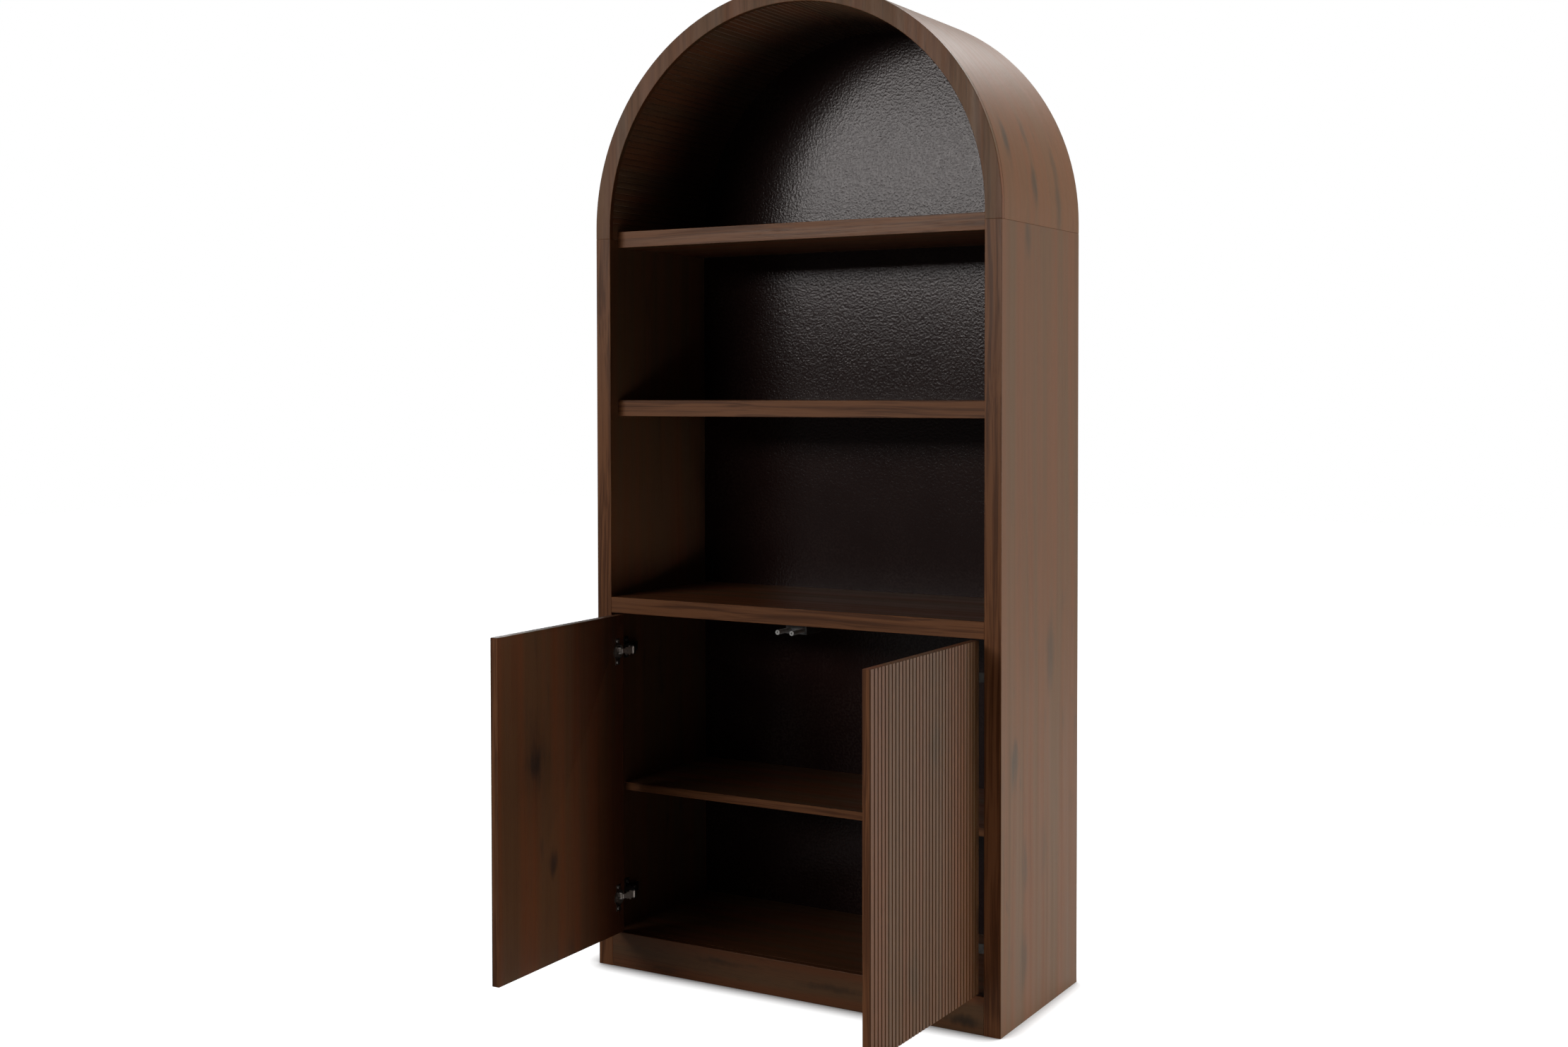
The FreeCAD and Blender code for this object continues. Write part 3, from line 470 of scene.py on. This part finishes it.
def brushed_wear():
    """Fine brushing and faint handling marks on plating: dull spots, uneven wear and the brushed relief."""
    tree, start, end = new_group("brushed_wear", [("Vector", "NodeSocketVector")],
                                 [("Dull", "NodeSocketFloat"), ("Wear", "NodeSocketFloat"),
                                  ("Height", "NodeSocketFloat")])
    place = start.outputs["Vector"]
    brushing = noise(tree, place, (300, 300, 4000)).outputs[0]
    marks = noise(tree, place, (160, 160, 160), shift=3.3, detail=3).outputs[0]
    worn = sums(tree, "ADD", sums(tree, "MULTIPLY", brushing, 0.5), sums(tree, "MULTIPLY", marks, 0.5))
    tree.links.new(between(tree, marks, 0.45, 0.75), end.inputs["Dull"])
    tree.links.new(worn, end.inputs["Wear"])
    tree.links.new(brushing, end.inputs["Height"])
    return tree


wear_group = brushed_wear()


def plated(name, colour, low_rough, high_rough):
    """Plated steel: fine brushing, faint handling marks and a slightly uneven gloss."""
    material, tree = blank_material(name)
    wear = grouped(tree, wear_group, add(tree, "ShaderNodeTexCoord").outputs["Object"])
    rough = uneven_gloss(tree, wear.outputs["Wear"], low_rough, high_rough)
    dull = tuple(WORN_SHADE * part for part in colour[:3]) + (1,)
    bump = add(tree, "ShaderNodeBump", {"Height": wear.outputs["Height"], "Strength": 0.2,
                                        "Distance": BRUSH_BUMP})
    shader = add(tree, "ShaderNodeBsdfPrincipled", {
        "Base Color": mixed(tree, wear.outputs["Dull"], colour, dull), "Metallic": 1.0,
        "Roughness": rough, "Normal": bump.outputs[0]})
    show(tree, shader)
    return material


def beech():
    """Pale turned beech with short flecks."""
    material, tree = blank_material("turned_beech")
    place = add(tree, "ShaderNodeTexCoord").outputs["Object"]
    flecks = noise(tree, place, (500, 500, 500), detail=3).outputs[0]
    colour = mixed(tree, between(tree, flecks, 0.35, 0.7), BEECH_DARK, BEECH_PALE)
    bump = add(tree, "ShaderNodeBump", {"Height": flecks, "Strength": 0.3, "Distance": BEECH_BUMP})
    shader = add(tree, "ShaderNodeBsdfPrincipled", {"Base Color": colour, "Roughness": 0.6,
                                                    "Normal": bump.outputs[0]})
    show(tree, shader)
    return material


zinc = plated("zinc_plate", (0.62, 0.62, 0.61, 1), low_rough=0.28, high_rough=0.46)
dress(beech(), "shelf_dowels", "plinth_dowels", "arch_dowels")
dress(zinc, "shelf_pins", "back_screws")


# Hinges: four concealed cup hinges in plated steel. The dark cup is pressed into the door, the satin link
# hooks round its rim on two pins, and the cranked arm is screwed to a plate on the side. Arm and plate
# are coloured near black as painted shade, for the shadow they sit in.
HINGE_EASE = 0.0002
HINGE_EDGE = 0.0025
dark_nickel = plated("dark_nickel_plate", (0.40, 0.36, 0.33, 1), low_rough=0.28, high_rough=0.42)
satin_nickel = plated("satin_nickel_plate", (0.72, 0.64, 0.58, 1), low_rough=0.40, high_rough=0.54)
# Near-black plating for the arms and plates: painted shade for the shadow inside the cabinet.
near_black_shade_plating = plated("near_black_shade_plate", (0.085, 0.078, 0.072, 1), low_rough=0.32, high_rough=0.46)
for side in ("left", "right"):
    for end in ("top", "low"):
        ending = "_%s_%s" % (side, end)
        eased("hinge_cup" + ending, side + "_door", dark_nickel, HINGE_EASE, HINGE_EDGE)
        eased("hinge_link" + ending, side + "_links", satin_nickel, HINGE_EASE, HINGE_EDGE)
        eased("hinge_arm" + ending, "carcass", near_black_shade_plating, HINGE_EASE, HINGE_EDGE)
        eased("hinge_plate" + ending, "carcass", near_black_shade_plating, HINGE_EASE, HINGE_EDGE)
    dress(zinc, "cup_pins_" + side, "arm_pins_" + side, "cup_screws_" + side, "plate_screws_" + side,
          "arm_screws_" + side)


# Doors: inset boards with upright veneer, routed into narrow flutes outside and plain inside.
# The flutes' edges are eased by the cutter. Two cup holes inside take the hinges.
DOOR_EASE = 0.0005
LEFT_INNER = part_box("door_left")[1].x
RIGHT_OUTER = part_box("door_right")[1].x
FLUTE_DEPTH = 0.0025
SHORT_OF_SQUARE = math.radians(1)
OUTWARD = Vector((math.cos(SHORT_OF_SQUARE), -math.sin(SHORT_OF_SQUARE), 0))
FACE_DISTANCE = max(OUTWARD.dot(corner.co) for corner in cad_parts["door_right"].data.vertices)
FACE_STAIN = (0.066, 0.034, 0.0155, 1)
FACE_COAT = 0.60
# Painted shade in the flutes: its share, and the depths where it starts and where it is full.
FLUTE_SHADE_SHARE = 0.90
FLUTE_SHADE_START = 0.1 * FLUTE_DEPTH
FLUTE_SHADE_FULL = 0.7 * FLUTE_DEPTH
UNDER_FLOOR = 1.02 * FLUTE_DEPTH
STAIN_AND_SHADE_END = 1.1 * FLUTE_DEPTH
DOOR_MARKS = [
    ((LEFT_INNER, -0.535, 0.528), (0.06, 0.034, 0.050), 1.0, KNOT_COLOUR),
    ((LEFT_INNER, -0.535, 0.528), (0.06, 0.070, 0.150), 0.4, KNOT_COLOUR),
    ((LEFT_INNER, -0.476, 0.299), (0.06, 0.022, 0.042), 0.85, KNOT_COLOUR),
    ((RIGHT_OUTER, -0.402, 0.620), (0.06, 0.036, 0.075), 0.75, GREY_SMUDGE),
    ((RIGHT_OUTER, -0.494, 0.195), (0.06, 0.040, 0.075), 0.75, GREY_SMUDGE),
]


def depth_inside(tree, coordinates):
    """How far a point lies below the fluted face of its door."""
    parts = add(tree, "ShaderNodeSeparateXYZ", {0: coordinates.outputs["Object"]})
    across = sums(tree, "MULTIPLY", sums(tree, "ABSOLUTE", parts.outputs["X"], 0), OUTWARD.x)
    reach = sums(tree, "ADD", across, sums(tree, "MULTIPLY", parts.outputs["Y"], OUTWARD.y))
    return sums(tree, "SUBTRACT", FACE_DISTANCE, reach)


def within_flutes(tree, deep):
    """1 from the fluted face down to the floors of the flutes, and 0 deeper in the door."""
    return sums(tree, "SUBTRACT", 1.0, between(tree, deep, UNDER_FLOOR, STAIN_AND_SHADE_END))


def rib_stain(tree, coordinates):
    """A thin coat of stain all over the fluted face, which evens out the figure."""
    deep = depth_inside(tree, coordinates)
    return sums(tree, "MULTIPLY", within_flutes(tree, deep), FACE_COAT)


def painted_flute_shade(tree, coordinates):
    """Painted shade on the walls and floors of the flutes, which makes them darker than the ribs."""
    deep = depth_inside(tree, coordinates)
    below = between(tree, deep, FLUTE_SHADE_START, FLUTE_SHADE_FULL)
    return sums(tree, "MULTIPLY", sums(tree, "MULTIPLY", below, within_flutes(tree, deep)), FLUTE_SHADE_SHARE)


# The fluted face gets a thin coat of stain, and painted shade on the walls and floors of the flutes.
door_walnut = veneer("walnut_door", upright, DOOR_MARKS, WARM_TINT,
                     stains_and_painted_light=[(rib_stain, FACE_STAIN), (painted_flute_shade, RING_LINE_AND_FLUTE_SHADE)])
for side in ("left", "right"):
    eased("door_" + side, side + "_door", door_walnut, DOOR_EASE)


# Push latches: a double plastic housing screwed up under the divider, with two sprung plungers
# that reach out to the shut doors and carry softer tips. In the real latch the springs shorten as the
# plungers go in; here each spring is a fixed copy of the imported one.
LATCH_EASE = 0.0012
LATCH_EDGE = 0.02
MOULDED_SHADE = 0.8
MOULD_BUMP = 0.00008


def mould_grain():
    """The fine grain that a mould leaves on plastic, and soft clouds in its colour and gloss."""
    tree, start, end = new_group("mould_grain", [("Vector", "NodeSocketVector")],
                                 [("Clouds", "NodeSocketFloat"), ("Height", "NodeSocketFloat")])
    place = start.outputs["Vector"]
    tree.links.new(noise(tree, place, (120, 120, 120), shift=2.2).outputs[0], end.inputs["Clouds"])
    tree.links.new(noise(tree, place, (1500, 1500, 1500)).outputs[0], end.inputs["Height"])
    return tree


mould_group = mould_grain()


def moulded(name, colour, low_rough, high_rough):
    """Moulded plastic: a fine grain from the mould and a slightly uneven gloss."""
    material, tree = blank_material(name)
    surface = grouped(tree, mould_group, add(tree, "ShaderNodeTexCoord").outputs["Object"])
    clouds = surface.outputs["Clouds"]
    rough = uneven_gloss(tree, clouds, low_rough, high_rough)
    darker = tuple(MOULDED_SHADE * part for part in colour[:3]) + (1,)
    bump = add(tree, "ShaderNodeBump", {"Height": surface.outputs["Height"], "Strength": 0.25,
                                        "Distance": MOULD_BUMP})
    shader = add(tree, "ShaderNodeBsdfPrincipled", {
        "Base Color": mixed(tree, between(tree, clouds, 0.35, 0.65), darker, colour), "Roughness": rough,
        "Normal": bump.outputs[0]})
    show(tree, shader)
    return material


housing_plastic = moulded("latch_housing_plastic", (0.060, 0.058, 0.055, 1), low_rough=0.40, high_rough=0.52)
plunger_plastic = moulded("latch_plunger_plastic", (0.46, 0.45, 0.43, 1), low_rough=0.38, high_rough=0.50)
tip_plastic = moulded("latch_tip_plastic", (0.42, 0.41, 0.39, 1), low_rough=0.55, high_rough=0.68)
eased("latch_housing", "carcass", housing_plastic, LATCH_EASE, LATCH_EDGE)
dress(plunger_plastic, "plunger_left", "plunger_right")
dress(tip_plastic, "plunger_tip_left", "plunger_tip_right")
dress(zinc, "latch_screws")
for side in ("left", "right"):
    spring_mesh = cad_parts["spring_" + side].data.copy()
    spring_mesh.materials.clear()
    spring_mesh.materials.append(zinc)
    spring = bpy.data.objects.new("spring_%s_sprung" % side, spring_mesh)
    scene.collection.objects.link(spring)
    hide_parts("spring_" + side)
    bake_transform(spring)


# Studio: a white floor that keeps the contact shadow, a white room behind and five soft lamps.
# None of it belongs to the cabinet.
FLOOR_SIZE = 30.0
CONTACT_REACH = 0.065
CROWDED_LEVEL = 0.5
OPEN_LEVEL = 0.95
FOOT_GLOW = 0.08
FLOOR_COLOUR = (0.65, 0.65, 0.65, 1)
AMBIENT = 0.12
MIRRORED_ROOM = 0.4
MIRRORED_FRONT = 0.12
MIRRORED_FLOOR = 0.3
FRONT_SHARE = 0.2
FRONT_END = -0.15
BACK_START = 0.45


def shown_rays(tree):
    """Two masks: rays that the camera sees, and rays that a piece mirrors or lets through."""
    path = add(tree, "ShaderNodeLightPath")
    mirrored = sums(tree, "ADD", path.outputs["Is Glossy Ray"], path.outputs["Is Transmission Ray"])
    return path.outputs["Is Camera Ray"], mirrored


def white_floor():
    """A floor that looks white, with a soft dark line where a piece comes close to it."""
    material, tree = blank_material("white_floor")
    seen, mirrored = shown_rays(tree)
    share = sums(tree, "ADD", seen, sums(tree, "MULTIPLY", mirrored, MIRRORED_FLOOR))
    open_floor = add(tree, "ShaderNodeAmbientOcclusion", {"Distance": CONTACT_REACH},
                     samples=16).outputs["AO"]
    level = add(tree, "ShaderNodeMapRange", {"Value": open_floor, "From Min": CROWDED_LEVEL,
                                             "From Max": OPEN_LEVEL, "To Min": FOOT_GLOW,
                                             "To Max": 1.0}).outputs[0]
    glow = add(tree, "ShaderNodeEmission", {"Strength": sums(tree, "MULTIPLY", share, level)})
    paint = add(tree, "ShaderNodeBsdfDiffuse", {"Color": FLOOR_COLOUR})
    both = add(tree, "ShaderNodeAddShader", {0: glow.outputs[0], 1: paint.outputs[0]})
    show(tree, both)
    return material


floor_shape = bmesh.new()
bmesh.ops.create_grid(floor_shape, x_segments=1, y_segments=1, size=FLOOR_SIZE / 2)
floor_mesh = bpy.data.meshes.new("studio_floor")
floor_shape.to_mesh(floor_mesh)
floor_shape.free()
floor_mesh.materials.append(white_floor())
studio_floor = bpy.data.objects.new("studio_floor", floor_mesh)
scene.collection.objects.link(studio_floor)

world = bpy.data.worlds.new("white_room")
world.use_nodes = True
scene.world = world
room = world.node_tree
room.nodes.clear()
towards = add(room, "ShaderNodeSeparateXYZ", {0: add(room, "ShaderNodeTexCoord").outputs["Generated"]})
behind = between(room, towards.outputs["Y"], FRONT_END, BACK_START)
seen, mirrored = shown_rays(room)
walls = sums(room, "MAXIMUM", sums(room, "MULTIPLY", behind, MIRRORED_ROOM), MIRRORED_FRONT)
reflected = sums(room, "MULTIPLY", mirrored, walls)
bright = sums(room, "ADD", sums(room, "MULTIPLY", behind, 1 - FRONT_SHARE), FRONT_SHARE)
soft = sums(room, "MULTIPLY", bright, AMBIENT)
plain = sums(room, "MAXIMUM", reflected, soft)
shown = sums(room, "MAXIMUM", seen, plain)
backdrop = add(room, "ShaderNodeBackground", {"Color": (1, 1, 1, 1), "Strength": shown})
world_output = add(room, "ShaderNodeOutputWorld")
room.links.new(backdrop.outputs[0], world_output.inputs["Surface"])


def softbox(name, place, aim, width, height, power, spread=math.pi):
    """A large soft lamp that the camera doesn't see. A grid on its face can narrow its spread."""
    lamp = bpy.data.lights.new(name, "AREA")
    lamp.shape = "RECTANGLE"
    lamp.size = width
    lamp.size_y = height
    lamp.energy = power
    lamp.spread = spread
    holder = bpy.data.objects.new(name, lamp)
    scene.collection.objects.link(holder)
    facing = Vector(aim) - Vector(place)
    holder.matrix_world = Matrix.Translation(place) @ facing.to_track_quat("-Z", "Y").to_matrix().to_4x4()
    holder.visible_camera = False


softbox("right_softbox", (5.0, 2.3, 0.9), aim=(0.45, 0, 0.75), width=3.4, height=3.0, power=262)
softbox("front_left_softbox", (-2.5, -6.05, 2.68), aim=(0.3, 0, 1.85), width=4.0, height=0.9, power=26,
        spread=math.radians(58))
softbox("low_right_strip", (4.6, -2.2, 0.32), aim=(-0.44, -0.5, 0.24), width=1.0, height=0.5, power=2.1,
        spread=math.radians(26))
softbox("top_rim", (1.0, 2.1, 4.6), aim=(0.3, 0, 2.0), width=2.2, height=2.0, power=150)
softbox("rear_left_softbox", (-5.0, 2.8, 1.3), aim=(-0.45, 0, 1.0), width=3.0, height=3.0, power=110)


# Camera: where the photo was taken from, with the same framing.
# It looks down only a little, and the lens shift moves the picture up or down instead.
CAMERA_PLACE = (1.9805, -3.6118, 1.3116)
CAMERA_TURN = math.radians(30.2867)
CAMERA_DOWN = math.radians(1.5868)
CAMERA_ROLL = math.radians(-0.0912)
FOCAL_LENGTH = 42.148
SENSOR_WIDTH = 36.0
LENS_SHIFT = -0.0515
lens = bpy.data.cameras.new("photo_camera")
lens.sensor_fit = "HORIZONTAL"
lens.sensor_width = SENSOR_WIDTH
lens.lens = FOCAL_LENGTH
lens.shift_y = LENS_SHIFT
camera = bpy.data.objects.new("photo_camera", lens)
camera.matrix_world = (Matrix.Translation(CAMERA_PLACE) @ Matrix.Rotation(CAMERA_TURN, 4, "Z")
                       @ Matrix.Rotation(math.pi / 2 - CAMERA_DOWN, 4, "X")
                       @ Matrix.Rotation(CAMERA_ROLL, 4, "Z"))
scene.collection.objects.link(camera)
scene.camera = camera
